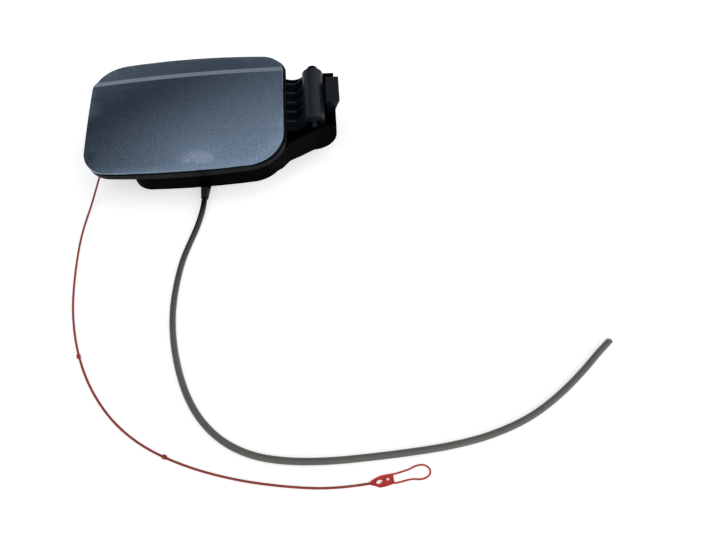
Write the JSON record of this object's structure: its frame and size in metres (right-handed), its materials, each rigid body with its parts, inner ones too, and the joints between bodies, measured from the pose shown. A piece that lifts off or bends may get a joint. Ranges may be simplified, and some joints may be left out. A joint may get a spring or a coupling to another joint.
{
  "type": "fuel filler flap",
  "caption": "Painted vehicle filler flap on a gooseneck hinge over a moulded pot with neck collar, drain hose, lock actuator and red release cord.",
  "frame": {"origin": "centre of the neck opening on the plane of the pot's base", "axes": "+Z along the neck's axis, out of the base towards the flap; +X towards the hinge; the flap's face leans 13 degrees towards -Y"},
  "size_m": [0.5137, 0.4849, 0.0749],
  "materials": {
    "flap_paint": "metallic blue-grey paint, clear coat",
    "black_plastic": "moulded, satin",
    "pot_plastic": "moulded, satin",
    "hinge_plastic": "glass filled, satin",
    "seal_rubber": "matt",
    "hose_rubber": "satin",
    "cord_red": "braided cord, matt",
    "handle_red": "moulded, glossy",
    "steel": "bright zinc",
    "spring_steel": "dark spring steel"
  },
  "bodies": {
    "root": {"filler_pot": "pot_plastic", "hinge_pin": "spring_steel", "detent_housing": "hinge_plastic", "detent_spring": "spring_steel", "rim_seal": "seal_rubber", "neck_collar": "seal_rubber", "spout_sleeve": "seal_rubber", "drain_hose": "hose_rubber", "lock_housing": "black_plastic", "lock_cover": "black_plastic", "lock_screws": "steel", "lock_motor": "steel", "plug_pins": "steel", "pin_seal": "seal_rubber", "latch_case": "black_plastic", "release_cord": "cord_red", "cord_beads": "cord_red", "release_handle": "handle_red"},
    "flap": {"flap_skin": "flap_paint", "flap_carrier": "black_plastic", "hinge_arm": "hinge_plastic", "hinge_bushes": "black_plastic", "flap_screws": "steel", "striker": "steel", "cap_holder": "black_plastic"},
    "lock_pin": {"lock_pin": "black_plastic"},
    "latch_plunger": {"latch_plunger": "black_plastic"}
  },
  "joints": [
    {"name": "flap_hinge", "type": "hinge", "parent": "root", "child": "flap", "pos_m": [0.123, 0.01126, 0.05518], "axis": [0, 0.9744, 0.225], "range_deg": [0, 100]},
    {"name": "lock_slide", "type": "slide", "parent": "root", "child": "lock_pin", "axis": [1, 0, 0], "range_m": [0, 0.008]},
    {"name": "plunger_slide", "type": "slide", "parent": "root", "child": "latch_plunger", "axis": [0, -0.225, 0.9744], "range_m": [-0.005, 0], "stiffness_N_per_m": 150, "springref_m": 0.004}
  ]
}
